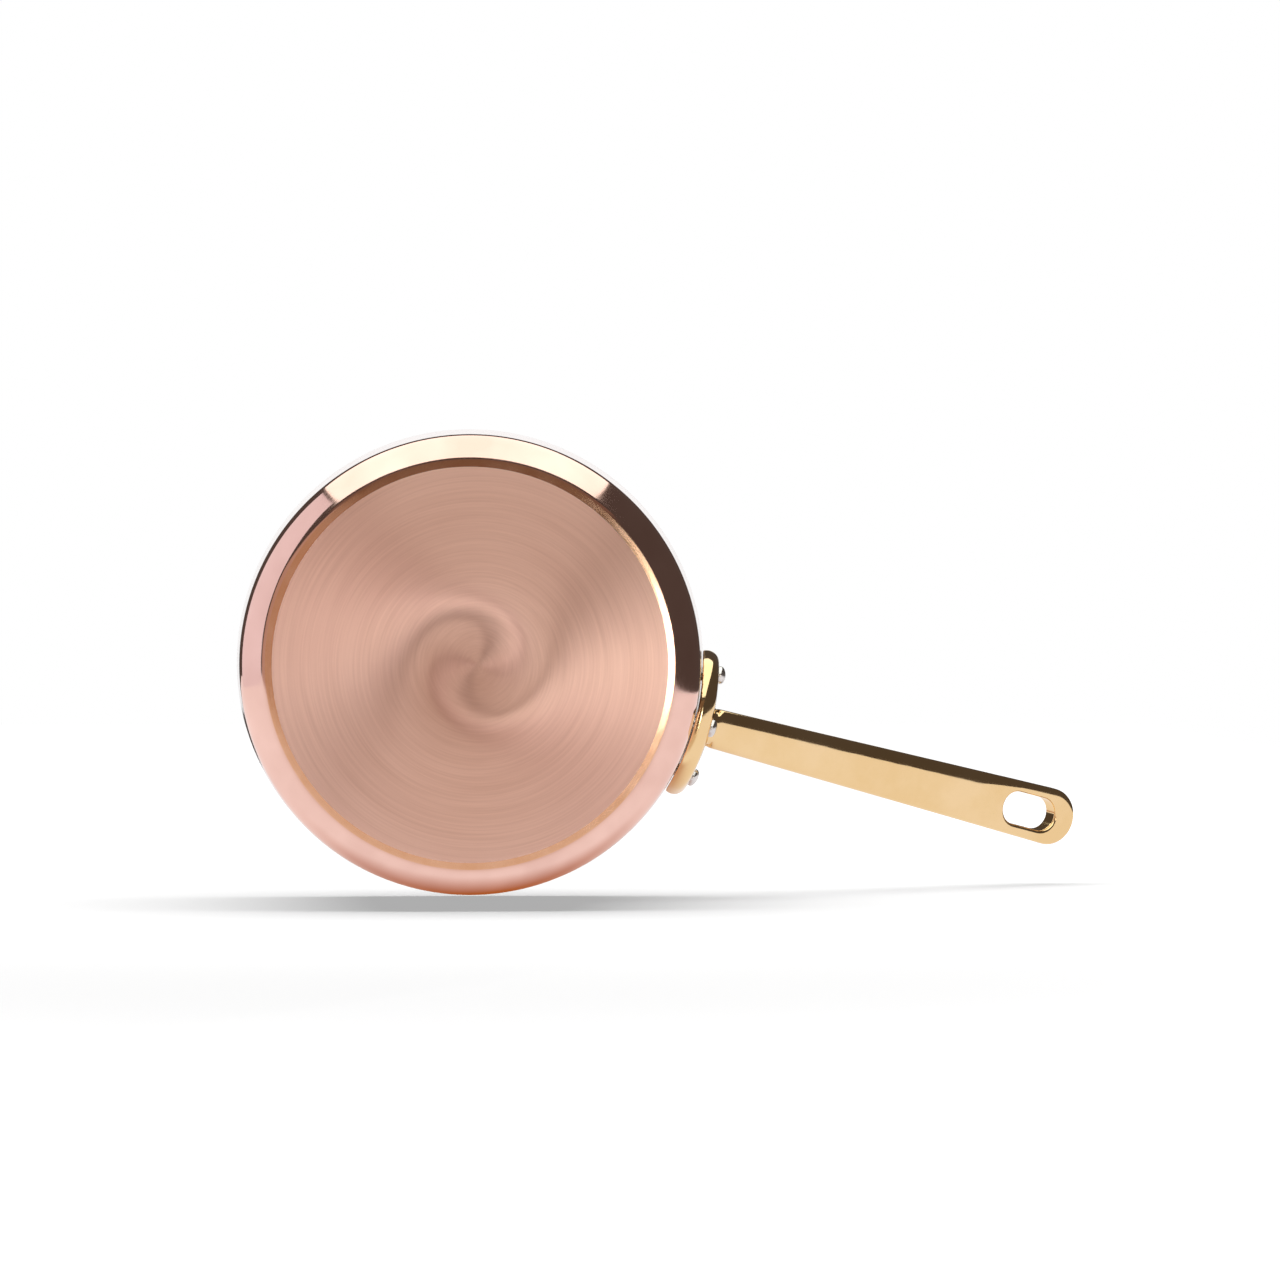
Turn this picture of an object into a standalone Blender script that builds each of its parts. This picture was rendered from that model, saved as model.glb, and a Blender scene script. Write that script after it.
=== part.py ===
"""A small copper saucepan with a brass handle, as six separate solids.

The pan stands upright. The origin is the centre of the base's underside, +Z is up,
and the handle points along +X. All sizes are in metres and all angles in degrees.
"""

import math

import bpy
from mathutils import Matrix, Vector

# Body: a flat base, a rounded corner and a wall that opens slightly towards the rim.
RIM_RADIUS = 0.0820
BASE_FLAT_RADIUS = 0.0680
CORNER_RADIUS = 0.0092
PAN_HEIGHT = 0.0850
COPPER_THICKNESS = 0.0016
LINING_THICKNESS = 0.0003
BOND_GAP = 0.0001
RIM_EDGE_RADIUS = 0.0003
BODY_SEGMENTS = 72
CORNER_STEPS = 6

# Flange: the plate that hugs the wall. Its width is measured around the wall.
FLANGE_WIDTH = 0.0500
FLANGE_HEIGHT = 0.0380
FLANGE_CENTRE_Z = 0.0590
FLANGE_THICKNESS = 0.0056
FLANGE_NARROWING = 0.16
FLANGE_SQUARENESS = 3.0
FLANGE_EDGE_INSET = 0.0046
FLANGE_EDGE_DEPTH = 0.0043
FLANGE_POINTS = 48
FLANGE_EDGE_STEPS = 4
FLANGE_RINGS = 4
FIT_GAP = 0.0003

# Bar: a flat bar with rounded edges on a rising centre line in the XZ plane.
BAR_LINE = ((0.0835, 0.0645), (0.1100, 0.0735), (0.1750, 0.1235), (0.2280, 0.1478))
BAR_ROOT_WIDTH = 0.0138
BAR_END_WIDTH = 0.0208
BAR_ROOT_THICKNESS = 0.0084
BAR_END_THICKNESS = 0.0072
BAR_EDGE_RADIUS = 0.0029
BAR_STATIONS = 12
BAR_TIP_STEPS = 9
BAR_EDGE_STEPS = 3

# Hanging slot through the bar's end.
SLOT_LENGTH = 0.0233
SLOT_WIDTH = 0.0120
SLOT_TO_TIP = 0.0088
SLOT_END_STEPS = 10
CUTTER_REACH = 0.0200

# Rivets: (name, degrees round the wall from the handle's line, height on the wall).
RIVETS = (
    ("rivet_left", 12.2, 0.0660),
    ("rivet_right", -12.2, 0.0660),
    ("rivet_lower", 0.0, 0.0490),
)
RIVET_SHANK_RADIUS = 0.00225
RIVET_HOLE_RADIUS = 0.00250
RIVET_HEAD_RADIUS = 0.0031
RIVET_HEAD_HEIGHT = 0.0022
RIVET_INNER_RADIUS = 0.0044
RIVET_INNER_HEIGHT = 0.0014
RIVET_SEAT_GAP = 0.0002
RIVET_SEGMENTS = 24
DOME_STEPS = 5
DOME_RIM_SHARE = 0.25

SMOOTH_ANGLE = math.radians(35)

# Materials: (base colour, metallic, roughness).
COPPER = ((0.90, 0.58, 0.46, 1.0), 1.0, 0.18)
STEEL = ((0.62, 0.61, 0.59, 1.0), 1.0, 0.30)
BRASS = ((0.86, 0.64, 0.30, 1.0), 1.0, 0.14)
RIVET_STEEL = ((0.66, 0.65, 0.63, 1.0), 1.0, 0.22)


def clear_scene():
    for obj in list(bpy.data.objects):
        bpy.data.objects.remove(obj, do_unlink=True)


def make_material(name, look):
    colour, metallic, roughness = look
    material = bpy.data.materials.new(name)
    material.use_nodes = True
    shader = material.node_tree.nodes["Principled BSDF"]
    shader.inputs["Base Color"].default_value = colour
    shader.inputs["Metallic"].default_value = metallic
    shader.inputs["Roughness"].default_value = roughness
    return material


def make_object(name, points, faces, material=None):
    mesh = bpy.data.meshes.new(name)
    mesh.from_pydata([tuple(point) for point in points], [], faces)
    mesh.shade_smooth()
    mesh.set_sharp_from_angle(angle=SMOOTH_ANGLE)
    if material is not None:
        mesh.materials.append(material)
    obj = bpy.data.objects.new(name, mesh)
    bpy.context.collection.objects.link(obj)
    return obj


def make_form(name, points, faces):
    """A hidden shape that only joins or cuts another object."""
    form = make_object(name, points, faces)
    form.hide_render = True
    form.display_type = "WIRE"
    return form


def add_boolean(obj, operation, form):
    modifier = obj.modifiers.new(form.name, "BOOLEAN")
    modifier.operation = operation
    modifier.solver = "EXACT"
    modifier.object = form


def arc(centre, radius, start, end, steps):
    """Points on a circular arc, from start to end degrees, both ends included."""
    points = []
    for i in range(steps + 1):
        angle = math.radians(start + (end - start) * i / steps)
        points.append((centre[0] + radius * math.cos(angle), centre[1] + radius * math.sin(angle)))
    return points


# The body's profile


def wall_tilt():
    """How far the wall leans out, so that it is tangent to the corner and reaches the rim."""
    run = RIM_RADIUS - BASE_FLAT_RADIUS
    rise = PAN_HEIGHT - CORNER_RADIUS
    return math.atan2(run, rise) - math.asin(CORNER_RADIUS / math.hypot(run, rise))


def wall_radius(z):
    """Outer radius of the wall at a height above the corner."""
    return RIM_RADIUS - (PAN_HEIGHT - z) * math.tan(wall_tilt())


def body_profile(depth):
    """The body's outer line moved inwards by depth: from the axis, round the corner, to the rim."""
    tilt = math.degrees(wall_tilt())
    corner_centre = (BASE_FLAT_RADIUS, CORNER_RADIUS)
    line = [(0.0, depth)]
    line += arc(corner_centre, CORNER_RADIUS - depth, -90, -tilt, CORNER_STEPS)
    line.append((RIM_RADIUS - depth / math.cos(wall_tilt()), PAN_HEIGHT))
    return line


def rim_corner(point, inwards):
    """The rim's edge as a small chamfer instead of a sharp corner."""
    r, z = point
    return [(r, z - RIM_EDGE_RADIUS), (r + inwards * RIM_EDGE_RADIUS, z)]


def lathe(profile, segments):
    """Turn a profile that starts and ends on the axis, outer side first, into a closed solid."""
    points = []
    rings = []
    for r, z in profile:
        if r == 0.0:
            rings.append([len(points)] * segments)
            points.append((0.0, 0.0, z))
            continue
        ring = []
        for i in range(segments):
            angle = 2 * math.pi * i / segments
            ring.append(len(points))
            points.append((r * math.cos(angle), r * math.sin(angle), z))
        rings.append(ring)
    faces = []
    for lower, upper in zip(rings, rings[1:]):
        for i in range(segments):
            j = (i + 1) % segments
            face = [lower[i], lower[j], upper[j], upper[i]]
            faces.append(tuple(dict.fromkeys(face)))
    return points, faces


def make_sheet(name, outer_depth, inner_depth, material):
    """One layer of the body, between two depths below the outer surface."""
    outer = body_profile(outer_depth)
    inner = body_profile(inner_depth)
    edge = rim_corner(outer.pop(), -1) if outer_depth == 0 else [outer.pop()]
    profile = outer + edge + inner[::-1]
    points, faces = lathe(profile, BODY_SEGMENTS)
    return make_object(name, points, faces, material)


# The handle's flange


def on_wall(around, z, depth):
    """The point at an arc length round the wall, a height, and a depth out from the wall."""
    angle = around / RIM_RADIUS
    tilt = wall_tilt()
    radius = wall_radius(z) + depth * math.cos(tilt)
    return Vector((radius * math.cos(angle), radius * math.sin(angle), z - depth * math.sin(tilt)))


def squared(value):
    """A sine or cosine bent so that an ellipse drawn with it gets fuller corners."""
    return math.copysign(abs(value) ** (2 / FLANGE_SQUARENESS), value)


def flange_outline(inset):
    """The flange's outline, a full oval that is wider above, moved in by inset."""
    half_width = FLANGE_WIDTH / 2 - inset
    half_height = FLANGE_HEIGHT / 2 - inset
    outline = []
    for i in range(FLANGE_POINTS):
        angle = 2 * math.pi * i / FLANGE_POINTS
        up = squared(math.sin(angle))
        around = half_width * squared(math.cos(angle)) * (1 + FLANGE_NARROWING * up)
        outline.append((around, FLANGE_CENTRE_Z + half_height * up))
    return outline


def shrink(outline, share):
    """The outline scaled towards the flange's centre."""
    return [(a * share, FLANGE_CENTRE_Z + (z - FLANGE_CENTRE_Z) * share) for a, z in outline]


def flange_rings():
    """Rings of points from the middle of the back, over the edge, to the middle of the front."""
    whole = flange_outline(0.0)
    side = FIT_GAP + FLANGE_THICKNESS - FLANGE_EDGE_DEPTH
    rings = []
    for i in range(1, FLANGE_RINGS + 1):
        rings.append([on_wall(a, z, FIT_GAP) for a, z in shrink(whole, i / FLANGE_RINGS)])
    for i in range(FLANGE_EDGE_STEPS + 1):
        angle = math.pi / 2 * i / FLANGE_EDGE_STEPS
        inset = FLANGE_EDGE_INSET * (1 - math.cos(angle))
        depth = side + FLANGE_EDGE_DEPTH * math.sin(angle)
        rings.append([on_wall(a, z, depth) for a, z in flange_outline(inset)])
    front = flange_outline(FLANGE_EDGE_INSET)
    for i in range(FLANGE_RINGS - 1, 0, -1):
        depth = FIT_GAP + FLANGE_THICKNESS
        rings.append([on_wall(a, z, depth) for a, z in shrink(front, i / FLANGE_RINGS)])
    return rings


def make_flange(material):
    rings = flange_rings()
    points = [point for ring in rings for point in ring]
    count = FLANGE_POINTS
    faces = []
    for k in range(len(rings) - 1):
        for i in range(count):
            j = (i + 1) % count
            faces.append((k * count + i, k * count + j, (k + 1) * count + j, (k + 1) * count + i))
    back_middle = len(points)
    front_middle = back_middle + 1
    points.append(on_wall(0.0, FLANGE_CENTRE_Z, FIT_GAP))
    points.append(on_wall(0.0, FLANGE_CENTRE_Z, FIT_GAP + FLANGE_THICKNESS))
    last = (len(rings) - 1) * count
    for i in range(count):
        j = (i + 1) % count
        faces.append((back_middle, j, i))
        faces.append((front_middle, last + i, last + j))
    return make_object("handle", points, faces, material)


# The handle's bar


def bar_point(share):
    """A point on the bar's centre line, a cubic Bezier curve, and the tangent there."""
    a, b, c, d = (Vector(point) for point in BAR_LINE)
    rest = 1 - share
    place = a * rest**3 + b * 3 * rest**2 * share + c * 3 * rest * share**2 + d * share**3
    tangent = (b - a) * rest**2 + (c - b) * 2 * rest * share + (d - c) * share**2
    return place, tangent.normalized()


def bar_length():
    steps = 200
    places = [bar_point(i / steps)[0] for i in range(steps + 1)]
    return sum((q - p).length for p, q in zip(places, places[1:]))


def bar_frame(along):
    """Place and tangent at a length along the centre line."""
    steps = 400
    before = bar_point(0.0)[0]
    walked = 0.0
    for i in range(1, steps + 1):
        place, tangent = bar_point(i / steps)
        walked += (place - before).length
        if walked >= along:
            return place, tangent
        before = place
    return bar_point(1.0)


def in_bar(along, across, above):
    """From the bar's own directions to the pan's."""
    place, tangent = bar_frame(along)
    x = place[0] - above * tangent[1]
    z = place[1] + above * tangent[0]
    return Vector((x, across, z))


def bar_outline(inset):
    """Half of the bar's plan, moved in by inset: (length along, half width) from root to tip."""
    length = bar_length()
    tip_radius = BAR_END_WIDTH / 2
    straight = length - tip_radius
    half = []
    for i in range(BAR_STATIONS):
        share = i / BAR_STATIONS
        width = BAR_ROOT_WIDTH + (BAR_END_WIDTH - BAR_ROOT_WIDTH) * share
        half.append((straight * share, width / 2 - inset))
    for i in range(BAR_TIP_STEPS):
        angle = math.pi / 2 * i / BAR_TIP_STEPS
        radius = tip_radius - inset
        half.append((straight + radius * math.sin(angle), radius * math.cos(angle)))
    half.append((straight + tip_radius - inset, 0.0))
    return half


def bar_ring(inset, side, lift):
    """A closed ring round the bar. Side is -1 below and 1 above, and lift runs from 0 to 1 at the face."""
    half = bar_outline(inset)
    length = bar_length()
    ring = []
    for along, across in half + [(along, -across) for along, across in half[-2::-1]]:
        thickness = BAR_ROOT_THICKNESS + (BAR_END_THICKNESS - BAR_ROOT_THICKNESS) * along / length
        above = side * (thickness / 2 - BAR_EDGE_RADIUS * (1 - lift))
        ring.append(in_bar(along, across, above))
    return ring


def make_bar_form():
    below = []
    above = []
    for i in range(BAR_EDGE_STEPS + 1):
        angle = math.pi / 2 * i / BAR_EDGE_STEPS
        inset = BAR_EDGE_RADIUS * (1 - math.cos(angle))
        below.append(bar_ring(inset, -1, math.sin(angle)))
        above.append(bar_ring(inset, 1, math.sin(angle)))
    rings = below[::-1] + above
    points = [point for ring in rings for point in ring]
    count = len(rings[0])
    faces = []
    for k in range(len(rings) - 1):
        for i in range(count):
            j = (i + 1) % count
            faces.append((k * count + j, k * count + i, (k + 1) * count + i, (k + 1) * count + j))
    last = (len(rings) - 1) * count
    for i in range(count // 2):
        j = count - 1 - i
        under = (i, i + 1, j - 1, j)
        faces.append(tuple(dict.fromkeys(under)))
        faces.append(tuple(dict.fromkeys(last + k for k in under[::-1])))
    return make_form("bar_form", points, faces)


def make_slot_form():
    """The hanging slot as a solid with round ends, longer than the bar is thick."""
    centre_along = bar_length() - SLOT_TO_TIP - SLOT_LENGTH / 2
    radius = SLOT_WIDTH / 2
    reach = SLOT_LENGTH / 2 - radius
    outline = arc((reach, 0.0), radius, -90, 90, SLOT_END_STEPS)
    outline += arc((-reach, 0.0), radius, 90, 270, SLOT_END_STEPS)
    place, tangent = bar_frame(centre_along)
    forward = Vector((tangent[0], 0.0, tangent[1]))
    upward = Vector((-tangent[1], 0.0, tangent[0]))
    middle = Vector((place[0], 0.0, place[1]))
    points = []
    for level in (-CUTTER_REACH / 2, CUTTER_REACH / 2):
        for u, v in outline:
            points.append(middle + forward * u + Vector((0.0, v, 0.0)) + upward * level)
    count = len(outline)
    faces = [tuple(range(count))[::-1], tuple(range(count, 2 * count))]
    for i in range(count):
        j = (i + 1) % count
        faces.append((i, j, count + j, count + i))
    return make_form("slot_form", points, faces)


# The rivets


def rivet_matrix(degrees, z):
    """Local +Z points straight out of the wall, and the origin is on the wall's surface."""
    tilt = wall_tilt()
    turn = Matrix.Rotation(math.radians(degrees), 4, "Z")
    lean = Matrix.Rotation(math.pi / 2 + tilt, 4, "Y")
    return turn @ Matrix.Translation((wall_radius(z), 0.0, z)) @ lean


def dome(radius, height, base):
    """Half profile of a low domed head, from its rim on the seat to its top on the axis."""
    rim = height * DOME_RIM_SHARE
    line = [(radius, base)]
    for i in range(DOME_STEPS):
        angle = math.pi / 2 * i / DOME_STEPS
        line.append((radius * math.cos(angle), base + rim + (height - rim) * math.sin(angle)))
    line.append((0.0, base + height))
    return line


def rivet_profile():
    wall = COPPER_THICKNESS + BOND_GAP + LINING_THICKNESS
    inner_seat = wall + RIVET_SEAT_GAP
    outer_seat = FIT_GAP + FLANGE_THICKNESS + RIVET_SEAT_GAP
    inner = [(r, -z) for r, z in dome(RIVET_INNER_RADIUS, RIVET_INNER_HEIGHT, inner_seat)]
    outer = dome(RIVET_HEAD_RADIUS, RIVET_HEAD_HEIGHT, outer_seat)
    shank = [(RIVET_SHANK_RADIUS, -inner_seat), (RIVET_SHANK_RADIUS, outer_seat)]
    return inner[::-1] + shank + outer


def make_rivet(name, degrees, z, material):
    points, faces = lathe(rivet_profile(), RIVET_SEGMENTS)
    rivet = make_object(name, points, faces, material)
    rivet.matrix_world = rivet_matrix(degrees, z)
    return rivet


def make_hole_form(name, degrees, z):
    """A plain pin that cuts the rivet's clearance hole through every layer."""
    ends = ((0.0, -CUTTER_REACH / 2), (RIVET_HOLE_RADIUS, -CUTTER_REACH / 2))
    profile = ends + tuple((r, -level) for r, level in ends[::-1])
    points, faces = lathe(profile, RIVET_SEGMENTS)
    form = make_form(name + "_hole_form", points, faces)
    form.matrix_world = rivet_matrix(degrees, z)
    return form


def build():
    clear_scene()
    copper = make_material("copper", COPPER)
    steel = make_material("lining_steel", STEEL)
    brass = make_material("brass", BRASS)
    rivet_steel = make_material("rivet_steel", RIVET_STEEL)

    lining_depth = COPPER_THICKNESS + BOND_GAP
    shell = make_sheet("copper_shell", 0.0, COPPER_THICKNESS, copper)
    lining = make_sheet("steel_lining", lining_depth, lining_depth + LINING_THICKNESS, steel)

    handle = make_flange(brass)
    add_boolean(handle, "UNION", make_bar_form())
    add_boolean(handle, "DIFFERENCE", make_slot_form())

    for name, degrees, z in RIVETS:
        hole = make_hole_form(name, degrees, z)
        for layer in (shell, lining, handle):
            add_boolean(layer, "DIFFERENCE", hole)
        make_rivet(name, degrees, z, rivet_steel)


build()
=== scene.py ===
"""Looks for the copper saucepan, which lies on its wall on a white floor, base to the camera.

The pan's own frame is used throughout: +Z runs from the base to the rim, the handle points
along +X, and all sizes are in metres. "Right", "up" and "towards" below mean the directions
of the picture, turned round the pan's axis by ROLL.
"""

import math

import bpy
import numpy as np
from mathutils import Matrix, Vector


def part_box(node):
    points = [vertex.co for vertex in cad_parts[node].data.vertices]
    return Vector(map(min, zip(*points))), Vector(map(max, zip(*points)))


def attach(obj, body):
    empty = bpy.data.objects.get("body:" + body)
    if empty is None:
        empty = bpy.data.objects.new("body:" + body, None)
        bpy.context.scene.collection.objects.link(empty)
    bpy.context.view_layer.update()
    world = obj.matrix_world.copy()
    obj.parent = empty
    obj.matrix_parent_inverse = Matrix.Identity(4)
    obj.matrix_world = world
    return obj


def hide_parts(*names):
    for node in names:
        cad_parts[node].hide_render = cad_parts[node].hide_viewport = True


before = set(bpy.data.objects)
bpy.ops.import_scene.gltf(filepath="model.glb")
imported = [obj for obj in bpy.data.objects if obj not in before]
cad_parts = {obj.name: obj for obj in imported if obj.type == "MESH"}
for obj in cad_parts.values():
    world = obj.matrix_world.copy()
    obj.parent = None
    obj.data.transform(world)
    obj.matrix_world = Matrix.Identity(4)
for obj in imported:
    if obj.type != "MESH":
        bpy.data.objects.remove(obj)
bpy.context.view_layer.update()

# Body, as in the CAD part.
RIM_RADIUS = 0.0820
BASE_FLAT_RADIUS = 0.0680
CORNER_RADIUS = 0.0092
PAN_HEIGHT = 0.0850
COPPER_THICKNESS = 0.0016
LINING_THICKNESS = 0.0003

# Body, finer than in the CAD part.
SEAM_GAP = 0.00002
BODY_SEGMENTS = 256
SOFT_EDGE_START = 0.0627
SOFT_EDGE_RADIUS = 0.1000
SOFT_EDGE_TURN = math.radians(3.0)
SOFT_EDGE_STEPS = 8
CORNER_STEPS = 40
WALL_STEPS = 20
RIM_ROUNDING = 0.00045
RIM_STEPS = 5
FLAT_RINGS = 10
BRUSHED_RADIUS = 0.0660
EDGE_RADIUS = 0.0684

# Flange, as in the CAD part.
FLANGE_WIDTH = 0.0500
FLANGE_HEIGHT = 0.0380
FLANGE_CENTRE_Z = 0.0590
FLANGE_THICKNESS = 0.0056
FLANGE_NARROWING = 0.16
FLANGE_SQUARENESS = 3.0
FLANGE_EDGE_RADIUS = 0.0044
FLANGE_BACK_RADIUS = 0.0005
FIT_GAP = 0.0003

# Bar and slot, as in the CAD part, except that the end of the bar is 0.25 mm lower.
BAR_LINE = ((0.0835, 0.0645), (0.1100, 0.0735), (0.1750, 0.1235), (0.2280, 0.14755))
BAR_ROOT_WIDTH = 0.0138
BAR_END_WIDTH = 0.0208
BAR_ROOT_THICKNESS = 0.0084
BAR_END_THICKNESS = 0.0072
SLOT_LENGTH = 0.0233
SLOT_WIDTH = 0.0120
SLOT_TO_TIP = 0.0088

# Bar, softer than in the CAD part. The crown is the power of the superellipse across the bar.
BAR_CROWN = 3.3
RING_CROWN = 6.5
CROWN_CHANGE = (0.118, 0.148)
SLOT_EDGE_RADIUS = 0.0012
FILLET_RADIUS = 0.0008
NECK_END = 0.0056
NECK_RADIUS = 0.0024
NECK_LIMIT = 0.85
NARROWING_LIMIT = 1.5

# Rivets, as in the CAD part: (name, degrees round the wall, height on the wall).
RIVETS = (
    ("rivet_left", 12.2, 0.0660),
    ("rivet_right", -12.2, 0.0660),
    ("rivet_lower", 0.0, 0.0490),
)
RIVET_SHANK_RADIUS = 0.00225
RIVET_HOLE_RADIUS = 0.00250
RIVET_HEAD_RADIUS = 0.0031
RIVET_HEAD_HEIGHT = 0.0022
RIVET_INNER_RADIUS = 0.0044
RIVET_INNER_HEIGHT = 0.0014
RIVET_SEAT_GAP = 0.00003
RIVET_SEGMENTS = 72
DOME_STEPS = 16
DOME_RIM_SHARE = 0.25
CUTTER_LENGTH = 0.0200

# The handle's surface is traced on a grid and then moved onto the exact shape.
GRID_STEP = 0.0005
GRID_MARGIN = 0.0015
SETTLE_ROUNDS = 4
SLOPE_STEP = 0.00002
LEAST_SLOPE_SQUARED = 0.05
LEAST_SHARE = 1e-4
TINY = 1e-9

# The bar's centre line is first looked up at these shares of its length and then refined.
SHARE_RANGE = (-0.2, 1.2)
SHARE_COUNT = 1401
LOOKUP_ROUNDS = 5

# Camera and floor.
ROLL = math.radians(15.1)
LENS = 125.0
SENSOR = 36.0
CAMERA_DISTANCE = 1.4795
BASE_OFFSET = (-0.0565, -0.0083)
AXIS_TURN = (math.radians(-2.165), math.radians(0.335))
CLIP_START = 0.05
FLOOR_GAP = 0.0003

SMOOTH_ANGLE = math.radians(35)


# The body's profile


def wall_tilt():
    """How far the wall leans out, so that it is tangent to the CAD corner and reaches the rim."""
    run = RIM_RADIUS - BASE_FLAT_RADIUS
    rise = PAN_HEIGHT - CORNER_RADIUS
    return math.atan2(run, rise) - math.asin(CORNER_RADIUS / math.hypot(run, rise))


def wall_radius(z):
    """Outer radius of the wall at a height above the corner."""
    return RIM_RADIUS - (PAN_HEIGHT - z) * math.tan(wall_tilt())


def outer_line():
    """The outer line from base to rim as (radius, height, slope) with soft joins."""
    line = []
    for i in range(FLAT_RINGS):
        line.append((SOFT_EDGE_START * i / FLAT_RINGS, 0.0, 0.0))
    for i in range(SOFT_EDGE_STEPS + 1):
        slope = SOFT_EDGE_TURN * i / SOFT_EDGE_STEPS
        r = SOFT_EDGE_START + SOFT_EDGE_RADIUS * math.sin(slope)
        line.append((r, SOFT_EDGE_RADIUS * (1 - math.cos(slope)), slope))
    start_r, start_z, start = line[-1]
    end = math.pi / 2 - wall_tilt()
    lean = math.tan(wall_tilt())
    reach = math.sin(end) - math.sin(start)
    climb = math.cos(start) - math.cos(end)
    radius = (wall_radius(start_z) - start_r) / (reach - climb * lean)
    for i in range(1, CORNER_STEPS + 1):
        slope = start + (end - start) * i / CORNER_STEPS
        r = start_r + radius * (math.sin(slope) - math.sin(start))
        z = start_z + radius * (math.cos(start) - math.cos(slope))
        line.append((r, z, slope))
    top = PAN_HEIGHT - RIM_ROUNDING
    first = line[-1][1]
    for i in range(1, WALL_STEPS + 1):
        z = first + (top - first) * i / WALL_STEPS
        line.append((wall_radius(z), z, end))
    return line


def offset(line, depth):
    """The line moved inwards by depth."""
    return [(r - depth * math.sin(s), z + depth * math.cos(s)) for r, z, s in line]


def rim_edge(corner, inwards):
    """A quarter round at the rim that ends level, from the point just below it."""
    r, z = corner
    points = []
    for i in range(1, RIM_STEPS + 1):
        angle = math.pi / 2 * i / RIM_STEPS
        in_by = RIM_ROUNDING * (1 - math.cos(angle))
        points.append((r + inwards * in_by, z + RIM_ROUNDING * math.sin(angle)))
    return points


def level_top(points):
    """The same line, cut off or drawn out so that its last point is at the rounding's start."""
    top = PAN_HEIGHT - RIM_ROUNDING
    (r0, z0), (r1, z1) = points[-2:]
    share = (top - z0) / (z1 - z0)
    return points[:-1] + [(r0 + (r1 - r0) * share, top)]


def sheet_profile(outer_depth, inner_depth, round_inside):
    line = outer_line()
    outer = level_top(offset(line, outer_depth))
    inner = level_top(offset(line, inner_depth))
    edge_r = outer[-1][0]
    if outer_depth == 0:
        rim = rim_edge(outer[-1], -1)
    else:
        rim = [(edge_r, PAN_HEIGHT)]
    if round_inside:
        back = rim_edge(inner[-1], 1)[::-1]
    else:
        back = [(inner[-1][0], PAN_HEIGHT)]
    return outer + rim + back + inner[::-1]


def lathe(profile, segments):
    """Turn a profile that starts and ends on the axis, outer side first, into a closed solid."""
    points = []
    rings = []
    for r, z in profile:
        if abs(r) < TINY:
            rings.append([len(points)] * segments)
            points.append((0.0, 0.0, z))
            continue
        ring = []
        for i in range(segments):
            angle = 2 * math.pi * i / segments
            ring.append(len(points))
            points.append((r * math.cos(angle), r * math.sin(angle), z))
        rings.append(ring)
    faces = []
    for lower, upper in zip(rings, rings[1:]):
        for i in range(segments):
            j = (i + 1) % segments
            face = [lower[i], lower[j], upper[j], upper[i]]
            faces.append(tuple(dict.fromkeys(face)))
    return points, faces


def make_object(name, points, faces, materials=()):
    mesh = bpy.data.meshes.new(name)
    mesh.from_pydata([tuple(point) for point in points], [], faces)
    mesh.shade_smooth()
    mesh.set_sharp_from_angle(angle=SMOOTH_ANGLE)
    for material in materials:
        mesh.materials.append(material)
    obj = bpy.data.objects.new(name, mesh)
    bpy.context.collection.objects.link(obj)
    return obj


def join_in(obj, node):
    """Hang a finished piece on the root body, in place of its CAD node, which is hidden."""
    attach(obj, "root")
    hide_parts(node)
    return obj


def cut_holes(obj):
    """Cut the rivets' clearance holes and keep the result as the object's own mesh."""
    cutters = []
    for name, degrees, z in RIVETS:
        ends = ((0.0, -CUTTER_LENGTH / 2), (RIVET_HOLE_RADIUS, -CUTTER_LENGTH / 2))
        profile = ends + tuple((r, -level) for r, level in ends[::-1])
        points, faces = lathe(profile, RIVET_SEGMENTS)
        cutter = make_object(name + "_hole_form", points, faces)
        cutter.matrix_world = rivet_matrix(degrees, z)
        modifier = obj.modifiers.new(cutter.name, "BOOLEAN")
        modifier.operation = "DIFFERENCE"
        modifier.solver = "EXACT"
        modifier.object = cutter
        cutters.append(cutter)
    graph = bpy.context.evaluated_depsgraph_get()
    mesh = bpy.data.meshes.new_from_object(obj.evaluated_get(graph))
    obj.modifiers.clear()
    obj.data = mesh
    for cutter in cutters:
        bpy.data.objects.remove(cutter, do_unlink=True)


def make_shell(brushed, edge, polished):
    points, faces = lathe(sheet_profile(0.0, COPPER_THICKNESS, True), BODY_SEGMENTS)
    shell = make_object("copper_body", points, faces, (polished, brushed, edge))
    for face in shell.data.polygons:
        middle = face.center
        if middle.z < COPPER_THICKNESS / 2:
            radius = math.hypot(middle.x, middle.y)
            face.material_index = (radius < EDGE_RADIUS) * (2 - (radius < BRUSHED_RADIUS))
    cut_holes(shell)
    return join_in(shell, "copper_shell")


def make_lining(steel):
    outer = COPPER_THICKNESS + SEAM_GAP
    profile = sheet_profile(outer, outer + LINING_THICKNESS, False)
    points, faces = lathe(profile, BODY_SEGMENTS)
    lining = make_object("steel_inside", points, faces, (steel,))
    cut_holes(lining)
    return join_in(lining, "steel_lining")


# Rivets


def rivet_matrix(degrees, z):
    """Local +Z points straight out of the wall, and the origin is on the wall's surface."""
    turn = Matrix.Rotation(math.radians(degrees), 4, "Z")
    lean = Matrix.Rotation(math.pi / 2 + wall_tilt(), 4, "Y")
    return turn @ Matrix.Translation((wall_radius(z), 0.0, z)) @ lean


def dome(radius, height, base):
    """Half profile of a low domed head, from its rim on the seat to its top on the axis."""
    rim = height * DOME_RIM_SHARE
    line = [(radius, base)]
    for i in range(DOME_STEPS):
        angle = math.pi / 2 * i / DOME_STEPS
        line.append((radius * math.cos(angle), base + rim + (height - rim) * math.sin(angle)))
    line.append((0.0, base + height))
    return line


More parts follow.
